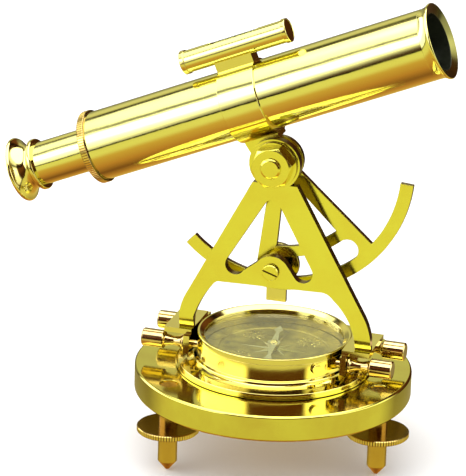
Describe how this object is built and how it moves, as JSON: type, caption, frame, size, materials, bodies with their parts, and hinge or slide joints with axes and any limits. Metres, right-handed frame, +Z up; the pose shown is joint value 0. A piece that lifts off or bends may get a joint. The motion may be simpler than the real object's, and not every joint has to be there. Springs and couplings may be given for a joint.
{
  "type": "theodolite",
  "caption": "Brass alidade theodolite: telescope with spirit level on a clamped limb and A-frame, over a round compass and a base on levelling screws.",
  "frame": {"origin": "on the azimuth axis, in the plane that the three foot tips stand on", "axes": "+Z up along the azimuth axis; the elevation axis runs along Y; the objective points towards +X, raised 23.2 degrees at rest"},
  "size_m": [0.2072, 0.13, 0.2189],
  "materials": {
    "polished_brass": "mirror-polished lemon brass",
    "knurled_brass": "straight-knurled brass, darker in the grooves",
    "dial_brass": "satin brass, engraved",
    "needle_metal": "bright steel",
    "clear_glass": "clear polished glass"
  },
  "bodies": {
    "base": {"base_disc": "polished_brass", "azimuth_bush": "polished_brass"},
    "foot_1": {"levelling_stud_1": "polished_brass"},
    "foot_wheel_1": {"levelling_wheel_1": "knurled_brass"},
    "foot_2": {"levelling_stud_2": "polished_brass"},
    "foot_wheel_2": {"levelling_wheel_2": "knurled_brass"},
    "foot_3": {"levelling_stud_3": "polished_brass"},
    "foot_wheel_3": {"levelling_wheel_3": "knurled_brass"},
    "needle": {"compass_needle": "needle_metal", "needle_cap": "polished_brass"},
    "clamp": {"clamp_screw": "polished_brass"},
    "draw": {"draw_tube": "polished_brass", "draw_guide": "polished_brass", "bead_ring": "polished_brass", "eyepiece_cup": "polished_brass", "eye_lens": "clear_glass", "field_lens": "clear_glass"},
    "telescope": {"limb": "polished_brass", "limb_rivets": "polished_brass", "saddle_bracket": "polished_brass", "collar": "polished_brass", "main_tube": "polished_brass", "objective_bell": "polished_brass", "objective_lens": "clear_glass", "lens_cell": "polished_brass", "lens_retainer": "polished_brass", "knurled_ring": "knurled_brass", "ring_spigot": "polished_brass", "level_tube": "polished_brass", "level_vial": "clear_glass", "level_pad": "polished_brass", "level_screws": "polished_brass", "level_cap_eye": "polished_brass", "level_cap_objective": "polished_brass"},
    "thumbscrew_left_front": {"thumbscrew_left_front": "polished_brass"},
    "thumbscrew_left_back": {"thumbscrew_left_back": "polished_brass"},
    "thumbscrew_right_front": {"thumbscrew_right_front": "polished_brass"},
    "thumbscrew_right_back": {"thumbscrew_right_back": "polished_brass"},
    "alidade": {"a_frame": "polished_brass", "azimuth_nut": "polished_brass", "azimuth_spindle": "polished_brass", "azimuth_washer": "polished_brass", "bezel_screw": "polished_brass", "clamp_spacer": "polished_brass", "clamp_stirrup": "polished_brass", "compass_bezel": "polished_brass", "compass_bowl": "polished_brass", "compass_dial": "dial_brass", "compass_glass": "clear_glass", "compass_pivot": "polished_brass", "foot_bracket_left": "polished_brass", "foot_bracket_right": "polished_brass", "leg_screw_left": "polished_brass", "leg_screw_right": "polished_brass", "pivot_bolt": "polished_brass", "pivot_nut": "polished_brass", "turntable_plate": "polished_brass"}
  },
  "joints": [
    {"name": "azimuth", "type": "hinge", "parent": "base", "child": "alidade", "pos_m": [0, 0, 0.0415], "axis": [0, 0, 1], "continuous": true},
    {"name": "elevation", "type": "hinge", "parent": "alidade", "child": "telescope", "pos_m": [0, 0, 0.1405], "axis": [0, -1, 0], "range_deg": [-42, 0]},
    {"name": "focus", "type": "slide", "parent": "telescope", "child": "draw", "axis": [-0.9191, 0, -0.3939], "range_m": [-0.023, 0.018]},
    {"name": "needle_swing", "type": "hinge", "parent": "alidade", "child": "needle", "pos_m": [0, 0, 0.0504], "axis": [0, 0, 1], "continuous": true},
    {"name": "clamp_turn", "type": "hinge", "parent": "alidade", "child": "clamp", "pos_m": [0, -0.012, 0.0896], "axis": [0, -1, 0], "range_deg": [0, 540]},
    {"name": "thumbscrew_left_front_turn", "type": "hinge", "parent": "alidade", "child": "thumbscrew_left_front", "pos_m": [-0.05, -0.012, 0.051], "axis": [-1, 0, 0], "range_deg": [0, 720]},
    {"name": "thumbscrew_left_back_turn", "type": "hinge", "parent": "alidade", "child": "thumbscrew_left_back", "pos_m": [-0.05, 0.012, 0.051], "axis": [-1, 0, 0], "range_deg": [0, 720]},
    {"name": "thumbscrew_right_front_turn", "type": "hinge", "parent": "alidade", "child": "thumbscrew_right_front", "pos_m": [0.05, -0.012, 0.051], "axis": [1, 0, 0], "range_deg": [0, 720]},
    {"name": "thumbscrew_right_back_turn", "type": "hinge", "parent": "alidade", "child": "thumbscrew_right_back", "pos_m": [0.05, 0.012, 0.051], "axis": [1, 0, 0], "range_deg": [0, 720]},
    {"name": "foot_1_height", "type": "slide", "parent": "base", "child": "foot_1", "axis": [0, 0, 1], "range_m": [-0.0025, 0.0025]},
    {"name": "foot_1_turn", "type": "hinge", "parent": "foot_1", "child": "foot_wheel_1", "pos_m": [-0.03723, -0.04021, 0.02], "axis": [0, 0, 1], "range_deg": [-900, 900]},
    {"name": "foot_2_height", "type": "slide", "parent": "base", "child": "foot_2", "axis": [0, 0, 1], "range_m": [-0.0025, 0.0025]},
    {"name": "foot_2_turn", "type": "hinge", "parent": "foot_2", "child": "foot_wheel_2", "pos_m": [0.05344, -0.01214, 0.02], "axis": [0, 0, 1], "range_deg": [-900, 900]},
    {"name": "foot_3_height", "type": "slide", "parent": "base", "child": "foot_3", "axis": [0, 0, 1], "range_m": [-0.0025, 0.0025]},
    {"name": "foot_3_turn", "type": "hinge", "parent": "foot_3", "child": "foot_wheel_3", "pos_m": [-0.0162, 0.05235, 0.02], "axis": [0, 0, 1], "range_deg": [-900, 900]}
  ]
}
